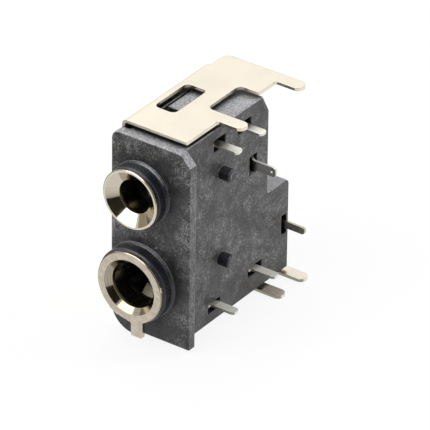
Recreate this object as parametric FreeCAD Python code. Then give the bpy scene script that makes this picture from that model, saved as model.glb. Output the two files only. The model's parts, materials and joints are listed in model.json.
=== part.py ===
import FreeCAD, Part
import math
import os

os.makedirs("parts", exist_ok=True)

V = FreeCAD.Vector

# Right-angle board socket for two plugs, a 2.5 mm one above a 3.5 mm one, in millimetres.
# X points out of the board face, along the solder legs.
# Y points the way the plugs go in, and Z points up.
# The origin is on the board face, midway between the two locating pegs.

# Front wall of the housing
WALL_WIDTH = 7.2
WALL_HEIGHT = 16.8
WALL_THICK = 0.8
WALL_PAST_BOARD = 0.9
WALL_PEG_DISTANCE = 5.35
WALL_BELOW_ORIGIN = 9.0
WALL_TOP_RADIUS = 0.75
WALL_CHAMFER_HEIGHT = 0.98
WALL_CHAMFER_ROUND = 0.4
WALL_FOOT_RADIUS = 2.1
WALL_FOOT_WIDTH = 2.5
WALL_FOOT_DROP = 0.4
WALL_EDGE_ROUND = 0.12

# Body behind the wall
BODY_WIDTH = 5.23
BODY_UNDERSIDE = 0.1
UPPER_DEPTH = 11.38
LOWER_DEPTH = 14.25
STEP_HEIGHT = 8.0
STEP_ROUND = 0.5
STEP_CORNER_ROUND = 0.25
REAR_SLOPE_DEPTH = 0.82
REAR_SLOPE_HEIGHT = 1.5
BODY_EDGE_ROUND = 0.1

# Recess and groove in the top, under the shield's window, from the body's left face
RECESS_LEFT = 0.2
RECESS_WIDTH = 1.17
RECESS_FRONT = 3.9
RECESS_LENGTH = 1.28
RECESS_DEPTH = 0.9
GROOVE_WIDTH = 0.16
GROOVE_DEPTH = 0.25
GROOVE_LENGTH = 4.2

# Locating pegs on the board face
PEG_RADIUS = 0.54
PEG_LENGTH = 1.05
PEG_PITCH = 7.5
PEG_TIP_CHAMFER = 0.12

# Socket axes
AXIS_FROM_BOARD = 3.52
LOWER_AXIS_HEIGHT = 4.71
SOCKET_PITCH = 7.63
BOSS_LENGTH = 1.2
UPPER_BOSS_RADIUS = 2.51
LOWER_BOSS_RADIUS = 3.08
BOSS_FOOT_FLARE = 0.07
BOSS_EDGE_CHAMFER = 0.13

# Plugs that the sockets take
UPPER_PLUG_RADIUS = 1.25
LOWER_PLUG_RADIUS = 1.75
UPPER_PLUG_LENGTH = 11.0
LOWER_PLUG_LENGTH = 14.0
PLUG_CLEARANCE = 0.1
PLUG_END_ROOM = 0.35
LEFT_SLOT_SHARE = 0.55

# Upper bush, turned from bar
UPPER_THROAT_RADIUS = 1.32
UPPER_MOUTH_RADIUS = 2.26
UPPER_RIM_RADIUS = 2.47
UPPER_RIM_THICK = 0.28
UPPER_RIM_GROOVE = 0.05
UPPER_RIM_CHAMFER = 0.05
UPPER_CONE_DEPTH = 0.7
UPPER_SEAT_RADIUS = 2.27
UPPER_BUSH_RADIUS = 1.85
UPPER_BUSH_REACH = 0.75

# Lower bush, drawn from sheet
LOWER_THROAT_RADIUS = 1.81
LOWER_MOUTH_RADIUS = 2.31
LOWER_RING_RADIUS = 2.95
LOWER_RING_THICK = 0.3
LOWER_RING_CHAMFER = 0.06
LOWER_CONE_DEPTH = 0.55
LOWER_BUSH_REACH = 0.5
TAB_WIDTH = 1.05
TAB_SHIFT = 0.72
TAB_END_HEIGHT = 0.62
TAB_END_ROUND = 0.16
TAB_ROOT_ROUND = 0.2
# Each stub has an angle on the ring, from the board's side, and a width
STUBS = ((15.0, 0.5), (240.0, 0.9))
STUB_PROUD = 0.05
STUB_CORNER = 0.05
PRESS_CLEARANCE = 0.01
BUSH_END_RELIEF = 0.6
THROAT_EASE = 0.08
THROAT_EASE_DEPTH = 0.2

# Folded shield
SHEET = 0.25
SHIELD_FRONT_GAP = 0.05
SHIELD_TOP_GAP = 0.36
SHIELD_UNDER_GAP = 0.25
SHIELD_SIDE_GAP = 0.46
SHIELD_BEND = 0.2
SHIELD_WEB_SHORT_OF_BODY = 0.18
SHIELD_TOP_PAST_BODY = 1.97
SHIELD_TAIL_INSET = 0.56
SHIELD_CORNER_ROUND = 0.75
SHIELD_JOG_ROUND = 0.4
SHIELD_UNDER_PAST_BODY = 0.35
SHIELD_UNDER_INSET = 0.75
TOP_LEG_REACH = 2.15
TOP_LEG_WIDTH = 1.15
TOP_LEG_START = 4.75
NOTCH_END = 10.02
NOTCH_DEPTH = 1.8
NOTCH_ROUND = 0.5
UNDER_LEG_REACH = 1.9
UNDER_LEG_WIDTH = 1.08
UNDER_LEG_FRONT = 10.52
LEG_END_FLAT = 0.04
WINDOW_FRONT = 3.75
WINDOW_REAR = 7.95
WINDOW_LEFT = 0.79
WINDOW_WIDTH = 1.88
WINDOW_ROUND = 0.45

# Staked studs that hold the shield's side web
STUD_RADIUS = 0.45
STUD_SHOULDER_RADIUS = 0.8
STUD_HEAD_RADIUS = 0.68
STUD_HEAD_THICK = 0.16
STUD_CLEARANCE = 0.03
STUD_HEIGHT = 8.9
STUD_DEPTHS = (3.4, 9.4)

# Contact stampings
STRIP = 0.2
STRIP_BEND = 0.18
ARM_WIDTH = 1.7
ARM_FREE_END = 0.75
ARM_FREE_RISE = 0.7
SIDE_ARM_WIDTH = 1.0
CROWN_PINCH = 0.22
LEG_REACH = 1.95
UPPER_RING_REACH = 1.82
UPPER_TIP_REACH = 2.08
LEG_WIDTH = 0.8
LOWER_TIP_WIDTH = 0.6
LEG_TIP_ROUND = 0.3
LEG_TIP_SHARE = 0.42
LEG_HOLE_RADIUS = 0.09
LEG_HOLE_FROM_TIP = 0.38
SHOULDER = 0.25
SHOULDER_BACK = 0.2
BLADE_LEFT_ROOM = 0.25
STEP_RUN = 0.47
PLATE_BACK = 0.8

# Rooms for the contacts in the housing
POCKET_CLEARANCE = 0.15
WINDOW_DEPTH = 1.6
NECK_WALL = 0.3

# Places of the contacts, from the front wall's face and from its lower edge
# The windows in the board face reach ahead of, behind, above and below the middle of each leg
UPPER_SLEEVE_LEG = 4.93
UPPER_SLEEVE_HEIGHT = 15.35
UPPER_SLEEVE_CROWN = 2.3
UPPER_SLEEVE_AHEAD = 0.7
UPPER_SLEEVE_BEHIND = 0.82
UPPER_SLEEVE_ABOVE = 0.6
UPPER_SLEEVE_BELOW = 0.43

UPPER_RING_LEG = 8.2
UPPER_RING_HEIGHT = 15.36
UPPER_RING_CROWN = 5.7
UPPER_RING_AHEAD = 0.91
UPPER_RING_BEHIND = 0.84
UPPER_RING_ABOVE = 0.53
UPPER_RING_BELOW = 0.37

UPPER_TIP_LEG = 9.5
UPPER_TIP_HEIGHT = 11.42
UPPER_TIP_CROWN = 7.4
UPPER_TIP_AHEAD = 0.6
UPPER_TIP_BEHIND = 0.4
UPPER_TIP_ABOVE = 0.93
UPPER_TIP_BELOW = 0.75
UPPER_TIP_STEP = 0.4

LOWER_SLEEVE_LEG = 4.77
LOWER_SLEEVE_HEIGHT = 1.43
LOWER_SLEEVE_CROWN = 2.0
LOWER_SLEEVE_AHEAD = 1.0
LOWER_SLEEVE_BEHIND = 0.57
LOWER_SLEEVE_ABOVE = 0.44
LOWER_SLEEVE_BELOW = 0.45

LOWER_RING_LEG = 10.0
LOWER_RING_HEIGHT = 2.0
LOWER_RING_CROWN = 7.1
LOWER_RING_AHEAD = 1.08
LOWER_RING_BEHIND = 0.75
LOWER_RING_ABOVE = 0.5
LOWER_RING_BELOW = 0.35

LOWER_TIP_LEG = 13.7
LOWER_TIP_HEIGHT = 4.2
LOWER_TIP_CROWN = 9.3
LOWER_TIP_AHEAD = 0.4
LOWER_TIP_BEHIND = 0.27
LOWER_TIP_ABOVE = 0.84
LOWER_TIP_BELOW = 0.95
LOWER_TIP_STEP = 0.15

# Datums worked out from the sizes above
FRONT = -WALL_PEG_DISTANCE
BASE = -WALL_BELOW_ORIGIN
TOP = BASE + WALL_HEIGHT
WALL_RIGHT = WALL_PAST_BOARD
WALL_LEFT = WALL_RIGHT - WALL_WIDTH
WALL_BACK = FRONT + WALL_THICK
BODY_LEFT = -BODY_WIDTH
AXIS_X = -AXIS_FROM_BOARD
LOWER_Z = BASE + LOWER_AXIS_HEIGHT
UPPER_Z = LOWER_Z + SOCKET_PITCH
BOSS_FRONT = FRONT - BOSS_LENGTH
MOUTH = BOSS_FRONT - LOWER_RING_THICK
WEB_INNER = BODY_LEFT - SHIELD_SIDE_GAP
WEB_OUTER = WEB_INNER - SHEET
UPPER_BORE_RADIUS = UPPER_PLUG_RADIUS + PLUG_CLEARANCE
LOWER_BORE_RADIUS = LOWER_PLUG_RADIUS + PLUG_CLEARANCE
UPPER_BORE_END = MOUTH + UPPER_PLUG_LENGTH + PLUG_END_ROOM
LOWER_BORE_END = MOUTH + LOWER_PLUG_LENGTH + PLUG_END_ROOM
LOWER_TUBE_RADIUS = LOWER_THROAT_RADIUS + LOWER_RING_THICK
OVERCUT = 1.0


# Shapes that the parts share
def box(x0, x1, y0, y1, z0, z1):
    return Part.makeBox(x1 - x0, y1 - y0, z1 - z0, V(x0, y0, z0))


def rod_y(radius, x, z, y0, y1):
    return Part.makeCylinder(radius, y1 - y0, V(x, y0, z), V(0, 1, 0))


def rod_x(radius, y, z, x0, x1):
    return Part.makeCylinder(radius, x1 - x0, V(x0, y, z), V(1, 0, 0))


def rounded_face(corners, place):
    """A flat face with an arc at each corner that has a radius.

    Corners are (u, v, radius) and place turns (u, v) into a point in space."""
    edges = []
    arcs = []
    count = len(corners)
    for i, (u, v, radius) in enumerate(corners):
        before = corners[i - 1]
        after = corners[(i + 1) % count]
        here = V(u, v, 0)
        to_before = (V(before[0], before[1], 0) - here).normalize()
        to_after = (V(after[0], after[1], 0) - here).normalize()
        if radius <= 0:
            arcs.append((here, None, here))
            continue
        half = to_before.getAngle(to_after) / 2
        reach = radius / math.tan(half)
        middle = (to_before + to_after).normalize()
        centre = here + middle * (radius / math.sin(half))
        arcs.append((here + to_before * reach, centre - middle * radius, here + to_after * reach))
    for i, (start, mid, end) in enumerate(arcs):
        if mid is not None:
            through = [place(point.x, point.y) for point in (start, mid, end)]
            edges.append(Part.Arc(*through).toShape())
        nxt = arcs[(i + 1) % count][0]
        if end.distanceToPoint(nxt) > 1e-6:
            edges.append(Part.LineSegment(place(end.x, end.y), place(nxt.x, nxt.y)).toShape())
    return Part.Face(Part.Wire(edges))


def plate_xz(corners, y0, y1):
    face = rounded_face(corners, lambda u, v: V(u, y0, v))
    return face.extrude(V(0, y1 - y0, 0))


def plate_yz(corners, x0, x1):
    face = rounded_face(corners, lambda u, v: V(x0, u, v))
    return face.extrude(V(x1 - x0, 0, 0))


def plate_xy(corners, z0, z1):
    face = rounded_face(corners, lambda u, v: V(u, v, z0))
    return face.extrude(V(0, 0, z1 - z0))


def strip_corners(path, thick, bend):
    """Outline of a bent strip whose middle line is the path, with round bends."""
    left = []
    right = []
    last = len(path) - 1
    for i, point in enumerate(path):
        here = V(point[0], point[1], 0)
        into = (here - V(*path[i - 1], 0)).normalize() if i > 0 else None
        out = (V(*path[i + 1], 0) - here).normalize() if i < last else None
        into = out if into is None else into
        out = into if out is None else out
        normal_in = V(-into.y, into.x, 0)
        normal_out = V(-out.y, out.x, 0)
        miter = normal_in + normal_out
        miter = miter * (thick / miter.dot(miter))
        turn = into.x * out.y - into.y * out.x
        straight = abs(turn) < 1e-9
        inner = 0 if straight else bend
        outer = 0 if straight else bend + thick
        a = here + miter
        b = here - miter
        left.append((a.x, a.y, inner if turn > 0 else outer))
        right.append((b.x, b.y, outer if turn > 0 else inner))
    return left + right[::-1]


def round_edges(shape, radius, wanted):
    edges = [edge for edge in shape.Edges if wanted(edge)]
    return shape.makeFillet(radius, edges) if edges else shape


def fuse(shapes):
    return shapes[0].multiFuse(shapes[1:]).removeSplitter()


# Contact with a flat leg blade and a spring arm that runs forward along the plug
def blade_contact(leg, height, crown, axis_z, plug_radius, reach):
    """leg and crown are depths behind the front face, height is the blade's height."""
    leg_y = FRONT + leg
    blade_z = BASE + height
    front_y = leg_y - LEG_WIDTH / 2
    rear_y = leg_y + LEG_WIDTH / 2
    side = 1 if blade_z > axis_z else -1
    left_x = BODY_LEFT + BLADE_LEFT_ROOM
    blade = plate_xy([(reach, front_y, LEG_TIP_ROUND), (reach, rear_y, LEG_TIP_ROUND),
                      (left_x, rear_y, LEG_TIP_ROUND), (left_x, front_y - SHOULDER, LEG_TIP_ROUND),
                      (-SHOULDER_BACK, front_y - SHOULDER, 0), (-SHOULDER_BACK, front_y, 0)],
                     blade_z - STRIP / 2, blade_z + STRIP / 2)
    crown_y = FRONT + crown
    crown_z = axis_z + side * (plug_radius - CROWN_PINCH + STRIP / 2)
    path = [(leg_y, blade_z), (front_y - SHOULDER, blade_z), (crown_y, crown_z),
            (crown_y - ARM_FREE_END, crown_z + side * ARM_FREE_RISE)]
    arm = plate_yz(strip_corners(path, STRIP, STRIP_BEND),
                   AXIS_X - ARM_WIDTH / 2, AXIS_X + ARM_WIDTH / 2)
    return fuse([blade, arm])


def blade_pocket(leg, height, crown, axis_z, plug_radius, ahead, behind, above, below):
    """Room for a blade contact.

    A tight slot holds the blade, and both slot and arm room open on the hidden left face."""
    leg_y = FRONT + leg
    blade_z = BASE + height
    side = 1 if blade_z > axis_z else -1
    left_x = BODY_LEFT - OVERCUT
    slot_front = leg_y - LEG_WIDTH / 2 - SHOULDER - PRESS_CLEARANCE
    slot_rear = leg_y + LEG_WIDTH / 2 + PRESS_CLEARANCE
    slot = box(left_x, -WINDOW_DEPTH, slot_front, slot_rear,
               blade_z - STRIP / 2, blade_z + STRIP / 2 + PRESS_CLEARANCE)
    window = box(-WINDOW_DEPTH, OVERCUT, leg_y - ahead, leg_y + behind, blade_z - below, blade_z + above)
    crown_y = FRONT + crown
    free_y = crown_y - ARM_FREE_END - POCKET_CLEARANCE
    inner_z = axis_z + side * (plug_radius - CROWN_PINCH - STRIP)
    outer_z = inner_z + side * (ARM_FREE_RISE + STRIP * 4)
    near_z = blade_z - side * (STRIP / 2 + POCKET_CLEARANCE * 2)
    far_z = blade_z + side * (STRIP / 2 + POCKET_CLEARANCE)
    root_y = slot_front + STRIP
    arm_room = plate_yz([(root_y, far_z, 0), (root_y, near_z, 0), (slot_front, near_z, 0),
                         (crown_y, inner_z, 0), (free_y, inner_z, 0), (free_y, outer_z, 0),
                         (crown_y, outer_z, 0), (slot_front - STRIP, far_z, 0)],
                        left_x, AXIS_X + ARM_WIDTH / 2 + POCKET_CLEARANCE)
    return fuse([arm_room, slot, window])


# Contact with an upright leg blade that folds forward beside the plug
def fold_x(plug_radius):
    return AXIS_X + plug_radius + PLUG_CLEARANCE + STRIP * 2


def folded_contact(leg, height, crown, axis_z, plug_radius, step_back, reach, width):
    leg_y = FRONT + leg
    crown_y = FRONT + crown
    leg_z = BASE + height
    rear_y = leg_y + step_back
    arm_x = fold_x(plug_radius)
    crown_x = AXIS_X + plug_radius - CROWN_PINCH + STRIP / 2
    path = [(reach, leg_y), (0, leg_y), (-STEP_RUN, rear_y), (arm_x, rear_y),
            (arm_x, crown_y + ARM_FREE_END * 2), (crown_x, crown_y), (arm_x, crown_y - ARM_FREE_END)]
    leg_low = leg_z - width / 2
    leg_high = leg_z + width / 2
    tip = min(LEG_TIP_ROUND, width * LEG_TIP_SHARE)
    arm_low = axis_z - SIDE_ARM_WIDTH / 2
    arm_high = axis_z + SIDE_ARM_WIDTH / 2
    low = min(arm_low, leg_low)
    high = max(arm_high, leg_high)
    band = plate_xy(strip_corners(path, STRIP, STRIP_BEND), low, high)
    far = rear_y + OVERCUT
    near = crown_y - OVERCUT * 2
    leg_zone = plate_xz([(reach, leg_low, tip), (reach, leg_high, tip),
                         (-PLATE_BACK - STRIP, leg_high, 0), (-PLATE_BACK - STRIP, leg_low, 0)], near, far)
    plate_zone = box(AXIS_X, -PLATE_BACK, rear_y - STRIP / 2, far, low, high)
    arm_zone = box(AXIS_X, -PLATE_BACK, near, rear_y, arm_low, arm_high)
    return band.common(fuse([leg_zone, plate_zone, arm_zone])).removeSplitter()


def leg_hole(leg, height, reach):
    leg_y = FRONT + leg
    return rod_y(LEG_HOLE_RADIUS, reach - LEG_HOLE_FROM_TIP, BASE + height,
                 leg_y - OVERCUT, leg_y + OVERCUT)


def folded_pocket(leg, height, crown, axis_z, plug_radius, step_back, width,
                  ahead, behind, above, below):
    """Room for a folded contact, open to the hidden left face."""
    leg_y = FRONT + leg
    crown_y = FRONT + crown
    leg_z = BASE + height
    plate_front = leg_y + step_back - STRIP / 2
    plate_rear = plate_front + STRIP + PRESS_CLEARANCE
    arm_low = axis_z - SIDE_ARM_WIDTH / 2
    arm_high = axis_z + SIDE_ARM_WIDTH / 2
    low = min(arm_low, leg_z - width / 2)
    high = max(arm_high, leg_z + width / 2)
    free_y = crown_y - ARM_FREE_END - POCKET_CLEARANCE * 2
    arm_x = fold_x(plug_radius)
    left_x = BODY_LEFT - OVERCUT
    room_right = arm_x + STRIP / 2 + POCKET_CLEARANCE
    arm_room = box(left_x, room_right, free_y, plate_rear,
                   arm_low - POCKET_CLEARANCE, arm_high + POCKET_CLEARANCE)
    plate_room = box(left_x, -PLATE_BACK, plate_front, plate_rear, low, high)
    window_low = leg_z - below
    window_high = leg_z + above
    neck_room = box(-PLATE_BACK, -NECK_WALL, leg_y - ahead, max(plate_rear, leg_y + behind),
                    window_low, window_high)
    window = box(-WINDOW_DEPTH, OVERCUT, leg_y - ahead, leg_y + behind, window_low, window_high)
    return fuse([arm_room, plate_room, neck_room, window])


# The contacts by name, each with its sizes, and the windows that go with them
UPPER = (UPPER_Z, UPPER_PLUG_RADIUS)
LOWER = (LOWER_Z, LOWER_PLUG_RADIUS)
BLADES = {
    "upper_sleeve_contact": (UPPER_SLEEVE_LEG, UPPER_SLEEVE_HEIGHT, UPPER_SLEEVE_CROWN) + UPPER,
    "upper_ring_contact": (UPPER_RING_LEG, UPPER_RING_HEIGHT, UPPER_RING_CROWN) + UPPER,
    "lower_sleeve_contact": (LOWER_SLEEVE_LEG, LOWER_SLEEVE_HEIGHT, LOWER_SLEEVE_CROWN) + LOWER,
    "lower_ring_contact": (LOWER_RING_LEG, LOWER_RING_HEIGHT, LOWER_RING_CROWN) + LOWER,
}
FOLDED = {
    "upper_tip_contact": (UPPER_TIP_LEG, UPPER_TIP_HEIGHT, UPPER_TIP_CROWN) + UPPER + (UPPER_TIP_STEP,),
    "lower_tip_contact": (LOWER_TIP_LEG, LOWER_TIP_HEIGHT, LOWER_TIP_CROWN) + LOWER + (LOWER_TIP_STEP,),
}
WINDOWS = {
    "upper_sleeve_contact": (UPPER_SLEEVE_AHEAD, UPPER_SLEEVE_BEHIND,
                             UPPER_SLEEVE_ABOVE, UPPER_SLEEVE_BELOW),
    "upper_ring_contact": (UPPER_RING_AHEAD, UPPER_RING_BEHIND, UPPER_RING_ABOVE, UPPER_RING_BELOW),
    "lower_sleeve_contact": (LOWER_SLEEVE_AHEAD, LOWER_SLEEVE_BEHIND,
                             LOWER_SLEEVE_ABOVE, LOWER_SLEEVE_BELOW),
    "lower_ring_contact": (LOWER_RING_AHEAD, LOWER_RING_BEHIND, LOWER_RING_ABOVE, LOWER_RING_BELOW),
    "upper_tip_contact": (UPPER_TIP_AHEAD, UPPER_TIP_BEHIND, UPPER_TIP_ABOVE, UPPER_TIP_BELOW),
    "lower_tip_contact": (LOWER_TIP_AHEAD, LOWER_TIP_BEHIND, LOWER_TIP_ABOVE, LOWER_TIP_BELOW),
}
WITH_HOLE = ("upper_tip_contact",)
REACHES = {"upper_ring_contact": UPPER_RING_REACH, "upper_tip_contact": UPPER_TIP_REACH}
WIDTHS = {"lower_tip_contact": LOWER_TIP_WIDTH}


# Moulded housing: front wall, stepped body, bosses, pegs and studs, with bores and contact pockets
def front_wall():
    outline = [(WALL_LEFT, TOP, WALL_TOP_RADIUS), (0, TOP, WALL_CHAMFER_ROUND),
               (WALL_RIGHT, TOP - WALL_CHAMFER_HEIGHT, 0), (WALL_RIGHT, BASE, 0),
               (WALL_LEFT + WALL_FOOT_WIDTH + WALL_FOOT_DROP, BASE, 0),
               (WALL_LEFT + WALL_FOOT_WIDTH, BASE - WALL_FOOT_DROP, 0),
               (WALL_LEFT, BASE - WALL_FOOT_DROP, WALL_FOOT_RADIUS)]
    wall = plate_xz(outline, FRONT, WALL_BACK)
    return round_edges(wall, WALL_EDGE_ROUND,
                       lambda edge: max(abs(v.Y - FRONT) for v in edge.Vertexes) < 1e-6)


def stepped_body():
    under = BASE + BODY_UNDERSIDE
    step = BASE + STEP_HEIGHT
    upper_rear = FRONT + UPPER_DEPTH
    lower_rear = FRONT + LOWER_DEPTH
    outline = [(WALL_BACK - WALL_THICK / 2, under, 0), (lower_rear, under, 0),
               (lower_rear, step, STEP_ROUND), (upper_rear, step, STEP_CORNER_ROUND),
               (upper_rear, TOP - REAR_SLOPE_HEIGHT, 0), (upper_rear - REAR_SLOPE_DEPTH, TOP, 0),
               (WALL_BACK - WALL_THICK / 2, TOP, 0)]
    body = plate_yz(outline, BODY_LEFT, 0)
    rear = WALL_BACK + BODY_EDGE_ROUND

    def on_side(edge):
        flat = all(abs(v.X) < 1e-6 or abs(v.X - BODY_LEFT) < 1e-6 for v in edge.Vertexes)
        same = len({round(v.X, 6) for v in edge.Vertexes}) == 1
        return flat and same and max(v.Y for v in edge.Vertexes) > rear

    return round_edges(body, BODY_EDGE_ROUND, on_side)


def boss(radius, axis_z):
    inside = WALL_BACK - WALL_THICK / 2
    foot = radius + BOSS_FOOT_FLARE
    barrel = turned([(0, inside, 0), (0, BOSS_FRONT, 0), (radius - BOSS_EDGE_CHAMFER, BOSS_FRONT, 0),
                     (radius, BOSS_FRONT + BOSS_EDGE_CHAMFER, 0), (radius, FRONT - BOSS_FOOT_FLARE, 0),
                     (foot, FRONT, 0), (foot, inside, 0)], axis_z)
    # The wall's left edge cuts off what would stand past it
    return barrel.common(box(WALL_LEFT, WALL_RIGHT, BOSS_FRONT, WALL_BACK, BASE, TOP))


def peg(z):
    stem = rod_x(PEG_RADIUS, 0, z, -PEG_LENGTH, PEG_LENGTH)
    tip = [edge for edge in stem.Edges if min(v.X for v in edge.Vertexes) > 0]
    return stem.makeChamfer(PEG_TIP_CHAMFER, tip)


def stud(depth):
    y = FRONT + depth
    z = BASE + STUD_HEIGHT
    head_x = WEB_OUTER - STUD_HEAD_THICK
    shoulder = rod_x(STUD_SHOULDER_RADIUS, y, z, WEB_INNER, BODY_LEFT + STRIP)
    stem = rod_x(STUD_RADIUS, y, z, head_x, BODY_LEFT)
    head = rod_x(STUD_HEAD_RADIUS, y, z, head_x, WEB_OUTER)
    rim = [edge for edge in head.Edges if max(v.X for v in edge.Vertexes) < WEB_OUTER]
    head = head.makeChamfer(STUD_HEAD_THICK / 2, rim)
    return fuse([shoulder, stem, head])


def bores():
    upper_seat = FRONT + UPPER_BUSH_REACH + BUSH_END_RELIEF
    lower_seat = FRONT + LOWER_BUSH_REACH + BUSH_END_RELIEF
    # The lower bore is wider than the body allows, so it opens through the hidden left face
    slot = LOWER_BORE_RADIUS * LEFT_SLOT_SHARE
    return [rod_y(UPPER_BUSH_RADIUS, AXIS_X, UPPER_Z, BOSS_FRONT - OVERCUT, upper_seat),
            rod_y(UPPER_BORE_RADIUS, AXIS_X, UPPER_Z, FRONT, UPPER_BORE_END),
            rod_y(LOWER_TUBE_RADIUS, AXIS_X, LOWER_Z, BOSS_FRONT - OVERCUT, lower_seat),
            rod_y(LOWER_BORE_RADIUS, AXIS_X, LOWER_Z, FRONT, LOWER_BORE_END),
            upper_seat_cone(),
            lower_seat_cone(),
            box(BODY_LEFT - OVERCUT, AXIS_X, lower_seat, LOWER_BORE_END, LOWER_Z - slot, LOWER_Z + slot)]


def top_recesses():
    """A blind recess and a groove along the left edge of the top."""
    left = BODY_LEFT + RECESS_LEFT
    front = FRONT + RECESS_FRONT
    over = TOP + OVERCUT
    return [box(left, left + RECESS_WIDTH, front, front + RECESS_LENGTH, TOP - RECESS_DEPTH, over),
            box(left, left + GROOVE_WIDTH, front, front + GROOVE_LENGTH, TOP - GROOVE_DEPTH, over)]


def housing():
    pieces = [front_wall(), stepped_body()]
    pieces += [boss(UPPER_BOSS_RADIUS, UPPER_Z), boss(LOWER_BOSS_RADIUS, LOWER_Z)]
    pieces += [peg(side * PEG_PITCH / 2) for side in (-1, 1)]
    pieces += [stud(depth) for depth in STUD_DEPTHS]
    solid = fuse(pieces)
    cuts = bores() + top_recesses()
    cuts += [blade_pocket(*sizes, *WINDOWS[name]) for name, sizes in BLADES.items()]
    cuts += [folded_pocket(*sizes, WIDTHS.get(name, LEG_WIDTH), *WINDOWS[name])
             for name, sizes in FOLDED.items()]
    for cut in cuts:
        solid = solid.cut(cut)
    return solid


# Upper bush: a turned ring with a wide lead-in cone
def turned(profile, axis_z):
    face = rounded_face(profile, lambda r, y: V(AXIS_X + r, y, axis_z))
    return face.revolve(V(AXIS_X, 0, axis_z), V(0, 1, 0), 360)


def lead_in(throat, mouth, depth):
    """Profile of a wide cone that eases into the throat."""
    eased = depth * (mouth - throat - THROAT_EASE) / (mouth - throat)
    return [(throat, MOUTH + eased + THROAT_EASE_DEPTH, 0), (throat + THROAT_EASE, MOUTH + eased, 0),
            (mouth, MOUTH, 0)]


def upper_seat_cone():
    start = V(AXIS_X, MOUTH + UPPER_RIM_THICK, UPPER_Z)
    return Part.makeCone(UPPER_SEAT_RADIUS, UPPER_BUSH_RADIUS, UPPER_CONE_DEPTH, start, V(0, 1, 0))


def upper_bush():
    back = MOUTH + UPPER_RIM_THICK
    under_rim = back - UPPER_RIM_GROOVE
    rear = FRONT + UPPER_BUSH_REACH
    outside = UPPER_BUSH_RADIUS - PRESS_CLEARANCE
    slope = (UPPER_SEAT_RADIUS - UPPER_BUSH_RADIUS) / UPPER_CONE_DEPTH
    cone_end = back + (UPPER_SEAT_RADIUS - outside) / slope
    return turned(lead_in(UPPER_THROAT_RADIUS, UPPER_MOUTH_RADIUS, UPPER_CONE_DEPTH) + [
                   (UPPER_RIM_RADIUS - UPPER_RIM_CHAMFER, MOUTH, 0),
                   (UPPER_RIM_RADIUS, MOUTH + UPPER_RIM_CHAMFER, 0), (UPPER_RIM_RADIUS, under_rim, 0),
                   (UPPER_SEAT_RADIUS, under_rim, 0), (UPPER_SEAT_RADIUS, back, 0),
                   (outside, cone_end, 0), (outside, rear, 0), (UPPER_THROAT_RADIUS, rear, 0)], UPPER_Z)


# Lower bush: drawn sheet with a flat ring, a short cone, a tube and a tab
def lower_seat_cone():
    start = V(AXIS_X, BOSS_FRONT, LOWER_Z)
    wide = LOWER_MOUTH_RADIUS + LOWER_RING_THICK
    return Part.makeCone(wide, LOWER_TUBE_RADIUS, LOWER_CONE_DEPTH, start, V(0, 1, 0))


def lower_bush():
    sheet = LOWER_RING_THICK
    rear = FRONT + LOWER_BUSH_REACH
    tube = LOWER_TUBE_RADIUS - PRESS_CLEARANCE
    cone = LOWER_MOUTH_RADIUS + sheet - PRESS_CLEARANCE
    ring = turned(lead_in(LOWER_THROAT_RADIUS, LOWER_MOUTH_RADIUS, LOWER_CONE_DEPTH) + [
                   (LOWER_RING_RADIUS - LOWER_RING_CHAMFER, MOUTH, 0),
                   (LOWER_RING_RADIUS, MOUTH + LOWER_RING_CHAMFER, 0), (LOWER_RING_RADIUS, MOUTH + sheet, 0),
                   (cone, MOUTH + sheet, 0), (tube, MOUTH + sheet + LOWER_CONE_DEPTH, 0),
                   (tube, rear, 0), (LOWER_THROAT_RADIUS, rear, 0)], LOWER_Z)
    return fuse([ring, tab()] + [stub(*sizes) for sizes in STUBS])


def rim_point(across):
    """A point on the ring's lower rim, that far across from the socket's axis."""
    drop = math.sqrt(LOWER_RING_RADIUS ** 2 - across ** 2)
    return (AXIS_X + across, LOWER_Z - drop)


def tab():
    left = TAB_SHIFT - TAB_WIDTH / 2
    right = TAB_SHIFT + TAB_WIDTH / 2
    flare = TAB_ROOT_ROUND * 2
    end = BASE + TAB_END_HEIGHT
    inside = LOWER_Z - (LOWER_RING_RADIUS + LOWER_MOUTH_RADIUS) / 2
    return plate_xz([(AXIS_X + left, end, TAB_END_ROUND), (AXIS_X + right, end, TAB_END_ROUND),
                     rim_point(right) + (TAB_ROOT_ROUND,), rim_point(right + flare) + (0,),
                     (AXIS_X + TAB_SHIFT, inside, 0),
                     rim_point(left - flare) + (0,), rim_point(left) + (TAB_ROOT_ROUND,)],
                    MOUTH, MOUTH + LOWER_RING_THICK)


def stub(angle, width):
    """A stub left where the ring was cut from its strip."""
    half = width / 2
    far = LOWER_RING_RADIUS + STUB_PROUD
    near = (LOWER_RING_RADIUS + LOWER_MOUTH_RADIUS) / 2
    corner = half - STUB_CORNER
    rim = far - STUB_CORNER
    piece = plate_xz([(near, -half, 0), (rim, -half, 0), (far, -corner, 0), (far, corner, 0),
                      (rim, half, 0), (near, half, 0)], MOUTH + LOWER_RING_CHAMFER, MOUTH + LOWER_RING_THICK)
    piece.rotate(V(0, 0, 0), V(0, -1, 0), angle)
    piece.translate(V(AXIS_X, 0, LOWER_Z))
    return piece


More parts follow.
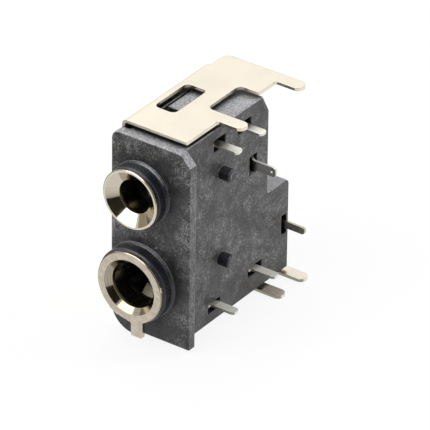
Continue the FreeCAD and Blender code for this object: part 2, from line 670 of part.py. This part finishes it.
# Shield: one sheet folded into a U over the top, the hidden left side and the underside
def shield():
    front = WALL_BACK + SHIELD_FRONT_GAP
    top_low = TOP + SHIELD_TOP_GAP
    under_high = BASE + BODY_UNDERSIDE - SHIELD_UNDER_GAP
    mid_top = top_low + SHEET / 2
    mid_under = under_high - SHEET / 2
    mid_web = WEB_OUTER + SHEET / 2
    under_rear = FRONT + LOWER_DEPTH + SHIELD_UNDER_PAST_BODY
    reach = TOP_LEG_REACH
    fold = rounded_face(strip_corners([(reach, mid_top), (mid_web, mid_top), (mid_web, mid_under),
                                       (UNDER_LEG_REACH, mid_under)], SHEET, SHIELD_BEND),
                        lambda u, v: V(u, front, v))
    band = fold.extrude(V(0, under_rear - front, 0))
    keep = fuse([top_zone(front), web_zone(front, under_rear), under_zone(front, under_rear)])
    holes = [rod_x(STUD_RADIUS + STUD_CLEARANCE, FRONT + depth, BASE + STUD_HEIGHT, WEB_OUTER - OVERCUT,
                   WEB_INNER + OVERCUT) for depth in STUD_DEPTHS]
    sheet = band.common(keep)
    for hole in holes:
        sheet = sheet.cut(hole)
    return sheet.removeSplitter()


def top_zone(front):
    """Plan outline of the top face, with its legs, its notch and its window."""
    rear = FRONT + UPPER_DEPTH + SHIELD_TOP_PAST_BODY
    fold_rear = FRONT + UPPER_DEPTH - SHIELD_WEB_SHORT_OF_BODY
    leg = FRONT + TOP_LEG_START
    leg_round = (TOP_LEG_WIDTH - LEG_END_FLAT) / 2
    notch = -NOTCH_DEPTH
    tail = WEB_OUTER + SHIELD_TAIL_INSET
    outline = [(WEB_OUTER, front, 0), (0, front, 0.1), (0, leg, 0.15),
               (TOP_LEG_REACH, leg, leg_round), (TOP_LEG_REACH, leg + TOP_LEG_WIDTH, leg_round),
               (notch, leg + TOP_LEG_WIDTH, NOTCH_ROUND), (notch, FRONT + NOTCH_END, NOTCH_ROUND),
               (0, FRONT + NOTCH_END, 0.15), (0, rear - TOP_LEG_WIDTH, 0.15),
               (TOP_LEG_REACH, rear - TOP_LEG_WIDTH, leg_round), (TOP_LEG_REACH, rear, leg_round),
               (tail, rear, SHIELD_CORNER_ROUND), (tail, fold_rear, SHIELD_JOG_ROUND),
               (WEB_OUTER, fold_rear, 0)]
    low = TOP
    high = TOP + SHIELD_TOP_GAP + SHEET + OVERCUT
    left = WEB_OUTER + WINDOW_LEFT
    right = left + WINDOW_WIDTH
    near = FRONT + WINDOW_FRONT
    far = FRONT + WINDOW_REAR
    opening = plate_xy([(left, near, WINDOW_ROUND), (right, near, WINDOW_ROUND),
                        (right, far, WINDOW_ROUND), (left, far, WINDOW_ROUND)], low, high)
    return plate_xy(outline, low, high).cut(opening)


def web_zone(front, under_rear):
    """Side outline of the web, stepped as the body is."""
    fold_rear = FRONT + UPPER_DEPTH - SHIELD_WEB_SHORT_OF_BODY
    step = BASE + STEP_HEIGHT
    low = BASE - OVERCUT
    return plate_yz([(front, low, 0), (under_rear, low, 0), (under_rear, step, STEP_ROUND),
                     (fold_rear, step, STEP_ROUND), (fold_rear, TOP + SHEET, 0), (front, TOP + SHEET, 0)],
                    WEB_OUTER - OVERCUT, WEB_INNER + SHIELD_BEND)


def under_zone(front, under_rear):
    """Plan outline of the underside face, with its two legs."""
    edge = -SHIELD_UNDER_INSET
    leg_round = (UNDER_LEG_WIDTH - LEG_END_FLAT) / 2
    first = FRONT + UNDER_LEG_FRONT
    outline = [(WEB_OUTER, front, 0), (edge, front, 0.3), (edge, first, 0.2),
               (UNDER_LEG_REACH, first, leg_round), (UNDER_LEG_REACH, first + UNDER_LEG_WIDTH, leg_round),
               (edge, first + UNDER_LEG_WIDTH, 0.2), (edge, under_rear - UNDER_LEG_WIDTH, 0.2),
               (UNDER_LEG_REACH, under_rear - UNDER_LEG_WIDTH, leg_round),
               (UNDER_LEG_REACH, under_rear, leg_round),
               (WEB_OUTER, under_rear, 0)]
    return plate_xy(outline, BASE - OVERCUT, BASE + BODY_UNDERSIDE)


parts = {"housing": housing(), "upper_bush": upper_bush(), "lower_bush": lower_bush(), "shield": shield()}
for name, sizes in BLADES.items():
    parts[name] = blade_contact(*sizes, REACHES.get(name, LEG_REACH))
for name, sizes in FOLDED.items():
    reach = REACHES.get(name, LEG_REACH)
    contact = folded_contact(*sizes, reach, WIDTHS.get(name, LEG_WIDTH))
    parts[name] = contact.cut(leg_hole(*sizes[:2], reach)) if name in WITH_HOLE else contact

for name, shape in parts.items():
    shape.exportStep("parts/" + name + ".step")
    print(name, "valid", shape.isValid(), "solids", len(shape.Solids), "volume", round(shape.Volume, 3))
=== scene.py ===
import json
import math

import bmesh
import bpy
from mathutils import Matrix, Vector


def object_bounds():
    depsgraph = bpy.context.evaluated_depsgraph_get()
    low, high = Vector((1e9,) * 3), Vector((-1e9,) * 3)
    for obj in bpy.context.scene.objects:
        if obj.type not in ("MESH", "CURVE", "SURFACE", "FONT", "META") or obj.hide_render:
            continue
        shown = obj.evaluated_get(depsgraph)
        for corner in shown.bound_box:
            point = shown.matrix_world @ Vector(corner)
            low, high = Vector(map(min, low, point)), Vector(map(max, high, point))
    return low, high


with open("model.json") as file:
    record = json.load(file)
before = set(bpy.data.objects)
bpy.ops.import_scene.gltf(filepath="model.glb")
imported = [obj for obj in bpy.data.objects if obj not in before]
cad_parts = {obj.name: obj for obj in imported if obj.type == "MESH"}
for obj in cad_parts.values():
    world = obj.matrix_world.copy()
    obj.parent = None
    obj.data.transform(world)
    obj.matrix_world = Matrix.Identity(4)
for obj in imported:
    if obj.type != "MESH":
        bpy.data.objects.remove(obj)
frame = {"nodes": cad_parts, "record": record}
cad_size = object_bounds()
nodes = frame["nodes"]
scene = bpy.context.scene
MM = 0.001

# Places on the object in metres: X out of the board face, Y the way the plugs go in, Z up
SOCKET_X = -0.00352
UPPER_SOCKET_Z = 0.00334
LOWER_SOCKET_Z = -0.00429
UPPER_CONE_END = -0.00621
LOWER_CONE_END = -0.00639

WHITE = (1.0, 1.0, 1.0)


# Short ways to build node trees
class Tree:
    """A node tree with short ways to add and join nodes."""

    def __init__(self, owner, output):
        owner.use_nodes = True
        self.tree = owner.node_tree
        self.tree.nodes.clear()
        self.output = self.add(output)

    def add(self, kind, inputs=None, **settings):
        node = self.tree.nodes.new(kind)
        for key, value in settings.items():
            setattr(node, key, value)
        for key, value in (inputs or {}).items():
            self.put(node.inputs[key], value)
        return node

    def put(self, socket, value):
        """Link an output to a socket or set the socket; a colour is red, green and blue."""
        if isinstance(value, bpy.types.NodeSocket):
            self.tree.links.new(value, socket)
        elif socket.type == "RGBA":
            socket.default_value = (*value, 1.0)
        else:
            socket.default_value = value

    def surface(self, shader):
        self.put(self.output.inputs["Surface"], shader)

    def math(self, operation, a, b=0.0):
        return self.add("ShaderNodeMath", {0: a, 1: b}, operation=operation).outputs[0]

    def times(self, first, *others):
        for other in others:
            first = self.math("MULTIPLY", first, other)
        return first

    def largest(self, first, *others):
        for other in others:
            first = self.math("MAXIMUM", first, other)
        return first

    def remainder(self, value):
        """What the value leaves of one."""
        return self.math("SUBTRACT", 1.0, value)

    def between(self, value, low, high, to_low=0.0, to_high=1.0):
        """Ease from one number to another while the value runs from low to high."""
        node = self.add("ShaderNodeMapRange", {
            "Value": value, "From Min": low, "From Max": high,
            "To Min": to_low, "To Max": to_high})
        node.interpolation_type = "SMOOTHSTEP"
        return node.outputs["Result"]

    def looked_at(self):
        """One where the camera, a mirror or glass sees it, nought where it only gives light."""
        ray = self.add("ShaderNodeLightPath").outputs
        return self.largest(ray["Is Camera Ray"], ray["Is Glossy Ray"],
                            ray["Is Transmission Ray"])


class Finish(Tree):
    """A material whose patterns lie in the object's own coordinates."""

    def __init__(self, name):
        self.material = bpy.data.materials.new(name)
        super().__init__(self.material, "ShaderNodeOutputMaterial")
        self.coords = self.add("ShaderNodeTexCoord").outputs["Object"]
        self.normal = self.add("ShaderNodeNewGeometry").outputs["Normal"]

    def split(self, vector):
        """The vector's three numbers."""
        return self.add("ShaderNodeSeparateXYZ", {"Vector": vector}).outputs[:]

    def vector(self, operation, *vectors, result="Vector"):
        node = self.add("ShaderNodeVectorMath", dict(enumerate(vectors)), operation=operation)
        return node.outputs[result]

    def noise(self, scale, detail=3.0, roughness=0.5, distortion=0.0, coords=None):
        node = self.add("ShaderNodeTexNoise", {
            "Vector": coords or self.coords, "Scale": scale, "Detail": detail,
            "Roughness": roughness, "Distortion": distortion})
        return node.outputs["Fac"]

    def cells(self, scale, coords=None):
        return self.add("ShaderNodeTexVoronoi", {"Vector": coords or self.coords,
                                                 "Scale": scale}).outputs

    def stretched(self, scales, turn, coords=None):
        node = self.add("ShaderNodeMapping", {"Vector": coords or self.coords,
                                              "Scale": scales, "Rotation": turn})
        return node.outputs["Vector"]

    def from_axis(self, x, z):
        """Distance from an axis that runs along Y."""
        across, _, up = self.split(self.coords)
        flat = self.add("ShaderNodeCombineXYZ", {"X": across, "Z": up}).outputs["Vector"]
        return self.vector("DISTANCE", flat, (x, 0.0, z), result="Value")

    def openness(self, distance):
        """How free the surface is of neighbours within the distance, from 0 to 1."""
        return self.add("ShaderNodeAmbientOcclusion", {"Distance": distance},
                        samples=8).outputs["AO"]

    def rounded(self, radius):
        """The normal, eased over every edge."""
        return self.add("ShaderNodeBevel", {"Radius": radius}, samples=8).outputs["Normal"]

    def agreement(self, normal):
        """One where the normal is the surface's own, less near an edge."""
        return self.vector("DOT_PRODUCT", normal, self.normal, result="Value")

    def mix(self, factor, a, b):
        node = self.add("ShaderNodeMix", data_type="RGBA")
        self.put(node.inputs[0], factor)
        self.put(node.inputs[6], a)
        self.put(node.inputs[7], b)
        return node.outputs[2]

    def bump(self, height, strength, distance, normal):
        return self.add("ShaderNodeBump", {"Height": height, "Strength": strength,
                                           "Distance": distance, "Normal": normal}
                        ).outputs["Normal"]

    def glow(self, colour):
        return self.add("ShaderNodeEmission", {"Color": colour, "Strength": 1.0}
                        ).outputs["Emission"]

    def principled(self, inputs):
        shader = self.add("ShaderNodeBsdfPrincipled", inputs).outputs["BSDF"]
        self.surface(shader)
        return shader


# The moulding's glass fibres: how much each layer is stretched, and how it is turned
STREAKS = (((8800.0, 8800.0, 2100.0), (0.0, 0.0, 0.0)),
           ((2500.0, 2500.0, 9400.0), (0.5, 0.35, 0.2)))
HAIRS = (((11000.0, 11000.0, 1300.0), (0.25, 0.3, 0.0)),
         ((10500.0, 1350.0, 10500.0), (0.9, 0.2, 0.4)),
         ((10500.0, 10500.0, 1200.0), (-0.7, 0.5, 0.3)))
# How far the melt's flow pushes the fibres aside, and the size of its swirls
FLOW_PUSH = 0.0030
FLOW_SCALE = 300.0

# The moulding's colours
# Black of the painted shade
PAINTED_SHADE_BLACK = (0.006, 0.006, 0.007)
SKIN_DARK = (0.012, 0.012, 0.014)
SKIN_LIGHT = (0.034, 0.034, 0.036)
FRONT_PAINTED_SHADE = (0.004, 0.004, 0.005)
SKIN_SMOOTH = (0.010, 0.012, 0.019)
BORE_PAINTED_SHADE = (0.005, 0.005, 0.006)
FIBRE_COOL = (0.262, 0.262, 0.265)
FIBRE_WARM = (0.285, 0.277, 0.270)
PAINTED_TOP_LIGHT = (0.49, 0.495, 0.52)
EDGE_WEAR_AND_HIGHLIGHT = (0.20, 0.20, 0.21)
GLINT = (0.62, 0.62, 0.64)
FILLET_PAINTED_HIGHLIGHT = (0.46, 0.47, 0.51)

# Places on the moulding where its finish changes
BOSS_START = (-0.005356, -0.005376)
PEG_OUT = (0.00002, 0.0001)
PEG_BEHIND = (-0.0045, -0.0044)
WALL_EDGE = (-0.00435, -0.00442)
REAR_STEP = (0.0055, 0.0058)
# Axis, heights and reach of the painted shadow beside each boss
BOSS_SHADOW_X = -0.00252
BOSS_SHADOW_Z = (0.00384, -0.00379)
BOSS_SHADOW_REACH = (0.0044, 0.0024)
BORE_REACH = (0.0024, 0.0023)


def moulded_plastic():
    """Black moulding with glass fibres that show as light swirls; bosses and pegs are smoother."""
    t = Finish("housing_plastic")
    x, y, z = t.split(t.coords)
    face_x, face_y, face_z = t.split(t.normal)

    # The fibres lie as the melt flowed
    drift = t.add("ShaderNodeTexNoise", {"Vector": t.coords, "Scale": FLOW_SCALE, "Detail": 2.0})
    push = t.vector("ADD", drift.outputs["Color"], (-0.5, -0.5, -0.5))
    push = t.add("ShaderNodeVectorMath", {0: push, "Scale": FLOW_PUSH},
                 operation="SCALE").outputs["Vector"]
    flowing = t.vector("ADD", t.coords, push)
    streaks = [t.noise(1.0, 4.0, 0.66, 0.3, t.stretched(*layer, flowing)) for layer in STREAKS]
    hairs = []
    for layer in HAIRS:
        cell = t.cells(1.0, t.stretched(*layer, flowing))
        bright = t.split(cell["Color"])[0]
        stroke = t.between(cell["Distance"], 0.38, 0.16)
        hairs.append(t.times(stroke, t.math("POWER", bright, 1.7)))
    swirl = t.noise(360.0, 5.0, 0.6, 1.6)
    cloud = t.noise(520.0, 2.0, 0.5, 1.4)
    speck = t.noise(7400.0, 2.0, 0.6)
    grains = t.cells(4700.0)["Distance"]

    # Bosses stand ahead of the front wall and pegs stand out of the board face
    peg = t.times(t.between(x, *PEG_OUT), t.between(y, *PEG_BEHIND), t.between(face_x, 0.9, 0.6))
    smooth = t.largest(t.between(y, *BOSS_START), peg)
    coarse = t.remainder(t.times(smooth, 0.88))
    facing_up = t.between(face_z, 0.2, 0.65)
    facing_front = t.between(face_y, -0.5, -0.8)
    facing_board = t.between(face_x, 0.6, 0.9)
    # How open each place is, used for painted shade in corners, hollows and round the bosses' feet
    outside = t.between(t.openness(0.0012), 0.30, 0.62)
    clear = t.between(t.openness(0.0026), 0.40, 0.92, 0.35, 1.0)

    # Painted shadow beside each boss, shifted to its right: darker skin with fewer fibres. Fibres
    # are also fewer towards the bottom, and richest low on the board face
    beside = [t.from_axis(BOSS_SHADOW_X, height) for height in BOSS_SHADOW_Z]
    boss_shadow = t.between(t.math("MINIMUM", *beside), *BOSS_SHADOW_REACH, 0.0, 0.72)
    boss_shadow = t.times(facing_front, boss_shadow)
    rich = t.times(facing_board, t.between(z, -0.001, -0.005, 0.0, 0.28))
    lower = t.between(z, -0.0054, -0.0078, 1.0, 0.6)
    amount = t.math("SUBTRACT", t.math("ADD", lower, rich), boss_shadow)
    fibre = t.times(t.between(t.largest(*streaks), 0.45, 0.74), 0.50)
    fibre = t.math("ADD", fibre, t.largest(*hairs))
    fibre = t.times(fibre,
                    t.between(swirl, 0.34, 0.66, 0.35, 1.2),
                    t.between(cloud, 0.36, 0.64, 0.62, 1.35),
                    t.between(speck, 0.36, 0.64, 0.80, 1.18),
                    t.between(facing_front, 0.0, 1.0, 1.0, 1.3))
    # The front wall's edge, on the board side, is paler
    wall_edge = t.times(facing_board, t.between(y, *WALL_EDGE))
    fibre = t.math("ADD", fibre, t.times(wall_edge, t.between(streaks[0], 0.35, 0.7, 0.0, 0.4)))
    fibre = t.times(fibre, coarse, amount)

    base = t.mix(t.between(swirl, 0.35, 0.65), SKIN_DARK, SKIN_LIGHT)
    # Faces that look to the front are painted darker, as shade
    base = t.mix(t.times(facing_front, 0.6), base, FRONT_PAINTED_SHADE)
    # Painted shadow beside the bosses
    base = t.mix(boss_shadow, base, PAINTED_SHADE_BLACK)
    base = t.mix(t.times(smooth, 0.9), base, SKIN_SMOOTH)
    base = t.mix(fibre, base, t.mix(t.between(cloud, 0.4, 0.6), FIBRE_COOL, FIBRE_WARM))
    # Painted shade where neighbours crowd in
    base = t.mix(clear, PAINTED_SHADE_BLACK, base)

    # Faces that look up are painted lighter, as light falling from above; the bosses only on their
    # upper left, the upper one more
    top_light = t.times(t.between(speck, 0.34, 0.66, 0.30, 0.88), coarse)
    top_light = t.add("ShaderNodeMix", {0: t.between(y, *REAR_STEP), 2: top_light,
                                    3: t.between(speck, 0.3, 0.7, 0.40, 0.62)}).outputs[0]
    further = t.between(z, -0.0010, 0.0010, 0.0, 0.40)
    left = t.between(t.math("SUBTRACT", face_x, further), 0.30, -0.20, 0.06, 0.75)
    top_light = t.times(top_light, outside, t.largest(left, t.remainder(smooth)))
    base = t.mix(t.times(facing_up, top_light), base, PAINTED_TOP_LIGHT)

    # Edges are lighter, partly worn by rubbing and partly a painted highlight, but hardly on the
    # bosses and pegs
    rounded = t.rounded(0.00015)
    edge_wear_and_highlight = t.times(t.between(t.agreement(rounded), 0.99, 0.90),
                     t.between(speck, 0.3, 0.7, 0.2, 0.8),
                     t.between(y, -0.0057, -0.0055, 0.2, 1.0),
                     t.between(peg, 0.0, 1.0, 1.0, 0.15))
    base = t.mix(edge_wear_and_highlight, base, EDGE_WEAR_AND_HIGHLIGHT)
    # Painted glints of the fibres, stronger on faces that look up
    glint = t.times(t.between(grains, 0.13, 0.03), t.between(speck, 0.42, 0.6),
                    coarse, t.between(facing_up, 0.0, 1.0, 0.35, 1.0))
    base = t.mix(glint, base, GLINT)
    # Painted shade in narrow corners
    base = t.mix(outside, PAINTED_SHADE_BLACK, base)

    # Inside the two bores the moulding is painted dark as shade, and stays matt
    to_axis = t.math("MINIMUM", t.from_axis(SOCKET_X, UPPER_SOCKET_Z),
                     t.from_axis(SOCKET_X, LOWER_SOCKET_Z))
    bore = t.times(t.between(to_axis, *BORE_REACH), t.between(y, -0.0062, -0.0060),
                   t.between(x, -0.0056, -0.0055), t.between(face_y, 0.5, 0.3))
    base = t.mix(bore, base, BORE_PAINTED_SHADE)
    rough = t.between(t.math("SUBTRACT", fibre, t.times(smooth, 0.5)), -0.5, 1.0, 0.26, 0.62)
    rough = t.largest(rough, t.times(bore, 0.95))

    # A soft fillet where each boss meets the front wall, with a painted highlight along its top
    fillet = t.times(t.between(y, -0.0058, -0.00540), t.between(face_y, -0.8, -0.5),
                     t.between(y, -0.0053, -0.00535))
    rough = t.math("SUBTRACT", rough, t.times(fillet, 0.10))
    lean = t.add("ShaderNodeCombineXYZ", {"Y": t.times(fillet, -2.2)}).outputs["Vector"]
    leaning = t.vector("NORMALIZE", t.vector("ADD", rounded, lean))
    fillet_highlight = t.times(t.between(y, -0.00566, -0.00550), t.between(y, -0.00535, -0.00546),
                    t.between(face_z, 0.45, 0.8), t.between(face_x, -0.25, 0.25),
                    t.between(speck, 0.3, 0.6, 0.5, 1.0),
                    t.between(z, -0.0010, 0.0010, 0.25, 0.95))
    base = t.mix(fillet_highlight, base, FILLET_PAINTED_HIGHLIGHT)

    relief = t.math("ADD", t.times(fibre, 0.7), t.times(speck, 0.3))
    t.principled({"Base Color": base, "Roughness": rough, "Specular IOR Level": 0.42,
                  "Normal": t.bump(relief, 0.30, 0.00005, leaning)})
    return t.material


# Colours of dull places on the metal parts
BORE_PLATE = (0.42, 0.37, 0.255)
BORE_MOUTH = (0.16, 0.14, 0.09)
INSIDE_PAINTED_SHADE = (0.40, 0.38, 0.32)
LOW_FRONT_PAINTED_SHADE = (0.30, 0.28, 0.21)
BARE_EDGE_AND_HIGHLIGHT = (0.97, 0.95, 0.91)

TOOL_RING_PITCH = 0.00015
MARK_SCALES = (700.0, 11000.0, 3000.0)
MARK_TURN = (0.2, 0.1, 0.5)


def shaded(colour, share):
    return tuple(c * share for c in colour)


def plated(name, colour, rough, edge_radius, edge, cloud_scale=900.0, contrast=0.06, lines=0.4,
           uneven=1.0, metal=1.0, cone=None, cone_end=None, ringed=False, shaded_inside=False,
           low_legs=None, bare_highlit_top=False):
    """Plating with faint rolling marks, fine pits and edges painted in another tone: a painted
    highlight where it is lighter, painted shade where darker.

    cone is the colour of a turned lead-in, which ends at cone_end along Y.
    Below the height low_legs, front edges are painted darker as shade, and the legs are matt on
    top."""
    t = Finish(name)
    x, y, z = t.split(t.coords)
    _, face_y, face_z = t.split(t.normal)

    cloud = t.noise(cloud_scale, 3.0, 0.5, 0.4)
    marks = t.noise(1.0, 3.0, 0.6, 0.2, t.stretched(MARK_SCALES, MARK_TURN))
    pits = t.times(t.between(t.cells(1500.0)["Distance"], 0.05, 0.015),
                   t.between(cloud, 0.55, 0.65))
    shade = t.math("ADD", t.times(cloud, 1.0 - lines), t.times(marks, lines))
    rounded = t.rounded(edge_radius)
    base = t.mix(t.between(shade, 0.38, 0.62), shaded(colour, 1.0 - contrast), colour)
    # Edges in the edge tone: painted highlight where lighter, painted shade where darker
    base = t.mix(t.between(t.agreement(rounded), 0.995, 0.90), base, edge)
    base = t.mix(t.times(pits, 0.5), base, shaded(colour, 0.45))
    spread = 0.15 * uneven
    roughness = t.between(shade, 0.35, 0.65, rough * (1 - spread), rough * (1 + spread))

    if cone:
        # The turned cone is darker than the flat face
        turned = t.times(t.between(face_y, -0.92, -0.80), t.between(face_y, -0.45, -0.55))
        base = t.mix(turned, base, cone)
        if ringed:
            # Fine rings left by the tool
            away = t.from_axis(SOCKET_X, LOWER_SOCKET_Z)
            wave = t.math("SINE", t.times(away, math.tau / TOOL_RING_PITCH))
            ring = t.times(turned, t.between(wave, 0.35, 1.0), 0.45)
            base = t.mix(ring, base, shaded(cone, 0.4))
        # Behind the cone the bore is dull, and darkest at its mouth
        dull = t.between(y, cone_end - 0.00003, cone_end + 0.00005)
        base = t.mix(dull, base, BORE_PLATE)
        mouth = t.times(dull, t.between(y, cone_end + 0.00032, cone_end + 0.00022))
        base = t.mix(mouth, base, BORE_MOUTH)
        roughness = t.math("ADD", roughness, t.times(dull, 0.12))
    if shaded_inside:
        # Within the moulding the spring is painted darker, as shade
        base = t.mix(t.between(x, -0.0002, -0.0012, 0.0, 0.8), base, INSIDE_PAINTED_SHADE)
    if low_legs:
        # Front edges are painted darker as shade, and the legs are matt on top
        below = t.between(z, low_legs + 0.0002, low_legs)
        base = t.mix(t.times(t.between(face_y, -0.3, -0.6), below), base, LOW_FRONT_PAINTED_SHADE)
        leg_top = t.times(t.between(x, 0.0, 0.0003), below, t.between(face_z, 0.5, 0.8))
        metal = t.math("SUBTRACT", metal, t.times(leg_top, 0.35))
    if bare_highlit_top:
        # Sheared edges that face up show raw metal and are matt, painted near white as a highlight
        up = t.between(face_z, 0.5, 0.8)
        base = t.mix(up, base, BARE_EDGE_AND_HIGHLIGHT)
        metal = t.math("SUBTRACT", metal, t.times(up, 0.75))

    relief = t.math("SUBTRACT", shade, t.times(pits, 0.6))
    t.principled({"Base Color": base, "Metallic": metal, "Roughness": roughness,
                  "Normal": t.bump(relief, 0.05 * uneven, 0.00003, rounded)})
    return t.material


MATERIALS = {
    "housing_plastic": moulded_plastic(),
    "bush_nickel": plated(
        "bush_nickel", (0.67, 0.61, 0.51), 0.09, 0.00004, (0.78, 0.73, 0.64),
        cone=(0.56, 0.505, 0.42), cone_end=UPPER_CONE_END),
    "ring_nickel": plated(
        "ring_nickel", (0.58, 0.514, 0.42), 0.12, 0.00004, (0.74, 0.70, 0.61),
        cloud_scale=1700.0, contrast=0.20,
        cone=(0.36, 0.32, 0.25), cone_end=LOWER_CONE_END, ringed=True),
    "shield_nickel": plated(
        "shield_nickel", (0.835, 0.765, 0.64), 0.26, 0.00005, (0.42, 0.37, 0.29),
        cloud_scale=300.0, contrast=0.025, lines=0.15, uneven=0.35, low_legs=-0.0070),
    "contact_plate": plated(
        "contact_plate", (0.77, 0.75, 0.68), 0.37, 0.00005, (0.97, 0.96, 0.93),
        shaded_inside=True),
    "contact_fold": plated(
        "contact_fold", (0.82, 0.80, 0.73), 0.33, 0.00004, (0.95, 0.94, 0.91),
        bare_highlit_top=True),
    "contact_dull": plated(
        "contact_dull", (0.86, 0.86, 0.80), 0.42, 0.00005, (0.84, 0.82, 0.76),
        metal=0.55, shaded_inside=True, low_legs=-0.0040),
    "contact_painted_shade": plated(
        "contact_painted_shade", (0.50, 0.47, 0.39), 0.33, 0.00004, (0.66, 0.56, 0.44)),
}
# Contacts that are not finished as their slot says; contact_painted_shade is a darker copy of the
# plating, painted as shade
CONTACT_FINISHES = {
    "upper_tip_contact": "contact_fold",
    "lower_tip_contact": "contact_painted_shade",
    "lower_sleeve_contact": "contact_dull",
    "lower_ring_contact": "contact_dull",
}
for part in frame["record"]["subparts"]:
    node = nodes[part["node"]]
    finish = CONTACT_FINISHES.get(part["node"], part["material_slot"])
    node.data.materials.clear()
    node.data.materials.append(MATERIALS[finish])


# Floor, world and lamps
floor_z = cad_size[0][2]
FLOOR_COLOUR = (0.93, 0.93, 0.93)
FLOOR_WHITE = 0.87
WORLD_LIGHT = 0.5


def flat_piece(name, place, material):
    """A square of two by two metres, laid out by the matrix, that isn't part of the object."""
    mesh = bpy.data.meshes.new(name)
    sheet = bmesh.new()
    bmesh.ops.create_grid(sheet, x_segments=1, y_segments=1, size=1.0, matrix=place)
    sheet.to_mesh(mesh)
    sheet.free()
    mesh.materials.append(material)
    piece = bpy.data.objects.new(name, mesh)
    scene.collection.objects.link(piece)
    return piece


# The floor is white where it is seen or mirrored, and keeps some of the object's shadow
paper = Finish("paper")
matt = paper.principled({"Base Color": FLOOR_COLOUR, "Roughness": 0.9})
blend = paper.add("ShaderNodeMixShader", {0: paper.times(paper.looked_at(), FLOOR_WHITE)})
paper.put(blend.inputs[1], matt)
paper.put(blend.inputs[2], paper.glow(WHITE))
paper.surface(blend.outputs["Shader"])
flat_piece("floor", Matrix.Translation((0, 0, floor_z)), paper.material)

# The world is white where it is seen or mirrored, and softer as light
world = bpy.data.worlds.new("studio")
scene.world = world
sky = Tree(world, "ShaderNodeOutputWorld")
brightness = sky.between(sky.looked_at(), 0.0, 1.0, WORLD_LIGHT, 1.0)
background = sky.add("ShaderNodeBackground", {"Color": WHITE, "Strength": brightness})
sky.surface(background.outputs["Background"])


def lamp(name, place, size, watts, mirrored):
    """A soft box that points at the object; mirrored says whether metal shows it."""
    data = bpy.data.lights.new(name, "AREA")
    data.shape = "RECTANGLE"
    data.size, data.size_y = size
    data.energy = watts
    light = bpy.data.objects.new(name, data)
    scene.collection.objects.link(light)
    light.location = place
    light.rotation_euler = (-Vector(place)).to_track_quat("-Z", "Y").to_euler()
    light.visible_glossy = mirrored


lamp("key", (-0.080, -0.190, 0.160), (0.25, 0.18), 0.42, mirrored=True)
lamp("top", (-0.10, 0.10, 0.25), (0.16, 0.16), 0.22, mirrored=True)
lamp("side", (0.16, 0.19, 0.125), (0.10, 0.12), 0.30, mirrored=False)


# Cards around the object, which only the metal's mirror shows
def held_up(start, end, across, distance):
    """Place of a card that reaches from one direction to another, seen from the object."""
    a = Vector(start).normalized() * distance
    b = Vector(end).normalized() * distance
    middle = (a + b) / 2
    along = (b - a) / 2
    side = middle.cross(along).normalized() * across / 2
    return Matrix([[along[i], side[i], middle[i] / distance, middle[i]] for i in range(3)]
                     + [[0, 0, 0, 1]])


def lying(x, y, half_length, half_width, lift, turn=0.0):
    """Place of a card on the floor, lifted a little so that it doesn't touch it."""
    return (Matrix.Translation((x, y, floor_z + lift))
            @ Matrix.Rotation(math.radians(turn), 4, "Z")
            @ Matrix.Diagonal((half_length, half_width, 1, 1)))


def card(name, place, colour, colour_ahead=None):
    """A card of one colour, or of two with the second ahead of the object."""
    felt = Finish(name)
    if colour_ahead:
        _, y, _ = felt.split(felt.coords)
        colour = felt.mix(felt.between(y, -0.012, -0.055), colour, colour_ahead)
    felt.surface(felt.glow(colour))
    piece = flat_piece(name, place, felt.material)
    piece.visible_camera = False
    piece.visible_diffuse = False
    piece.visible_shadow = False


DARK = (0.030, 0.026, 0.018)
card("camera_card", held_up((0.76, -0.65, -0.06), (0.22, -0.74, 0.62), 0.165, 0.26), DARK)
card("left_card", held_up((-0.80, -0.53, 0.15), (-0.99, 0.06, 0.14), 0.085, 0.25),
     (0.42, 0.385, 0.29))
card("table_card", lying(0.131, -0.161, 0.153, 0.067, 0.0002, turn=-51), DARK)
card("left_table_card", lying(-0.131, -0.040, 0.109, 0.065, 0.0003), (0.23, 0.21, 0.155))
card("near_table_card", lying(0.0225, -0.033, 0.0205, 0.023, 0.0003),
     (0.98, 0.97, 0.95), (0.52, 0.50, 0.46))

# Camera at the photo's viewing angle, in the object's axes and millimetres
AZIMUTH = math.radians(35.145)
ELEVATION = math.radians(31.224)
ROLL = math.radians(0.813)
DISTANCE = 419.7
AIM = Vector((-2.3, 0.65, -1.0))
AIM_RIGHT = 1.0253
AIM_DOWN = 0.1153
PIXELS_PER_MM = 13.3
PICTURE_PIXELS = 430.0
SENSOR_MM = 36.0

level_right = Vector((math.cos(AZIMUTH), math.sin(AZIMUTH), 0))
back = Vector((math.sin(AZIMUTH) * math.cos(ELEVATION),
               -math.cos(AZIMUTH) * math.cos(ELEVATION),
               math.sin(ELEVATION)))
level_up = back.cross(level_right)
right = level_right * math.cos(ROLL) + level_up * math.sin(ROLL)
up = level_up * math.cos(ROLL) - level_right * math.sin(ROLL)
stand = (AIM + back * DISTANCE + right * AIM_RIGHT - up * AIM_DOWN) * MM

camera_data = bpy.data.cameras.new("camera")
camera_data.sensor_width = SENSOR_MM
camera_data.lens = PIXELS_PER_MM * DISTANCE * SENSOR_MM / PICTURE_PIXELS
camera_data.clip_start = 0.01
camera_data.clip_end = 10.0
camera = bpy.data.objects.new("camera", camera_data)
camera.matrix_world = Matrix([[right[i], up[i], back[i], stand[i]] for i in range(3)]
                                + [[0, 0, 0, 1]])
scene.collection.objects.link(camera)
scene.camera = camera

scene.view_settings.view_transform = "Standard"
